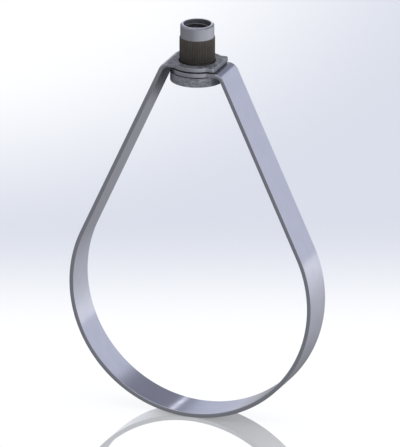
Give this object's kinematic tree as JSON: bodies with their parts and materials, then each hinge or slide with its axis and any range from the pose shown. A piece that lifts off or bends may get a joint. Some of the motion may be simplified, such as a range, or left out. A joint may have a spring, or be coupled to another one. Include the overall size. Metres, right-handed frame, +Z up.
{
  "type": "swivel ring hanger",
  "caption": "Pear-shaped steel band hanger on a knurled, flanged swivel nut, which carries a horizontal pipe in its ring from a threaded rod.",
  "frame": {"origin": "mouth of the rod thread: the nut's axis, in the plane of the nut's top face", "axes": "+Z up along the rod and the nut's axis; X in the plane of the band, towards the leg that ends in the lower eye; Y along the pipe"},
  "size_m": [0.1202, 0.0254, 0.1915],
  "materials": {
    "galvanised_strip": "zinc coated strip, satin, faint rolling grain",
    "plated_nut": "turned and zinc plated, with a dark knurl"
  },
  "bodies": {
    "nut": {"swivel_nut": "plated_nut"},
    "ring": {"band": "galvanised_strip"}
  },
  "joints": [
    {"name": "band_swivel", "type": "hinge", "parent": "nut", "child": "ring", "pos_m": [0, 0, -0.0227], "axis": [0, 0, 1], "continuous": true}
  ]
}
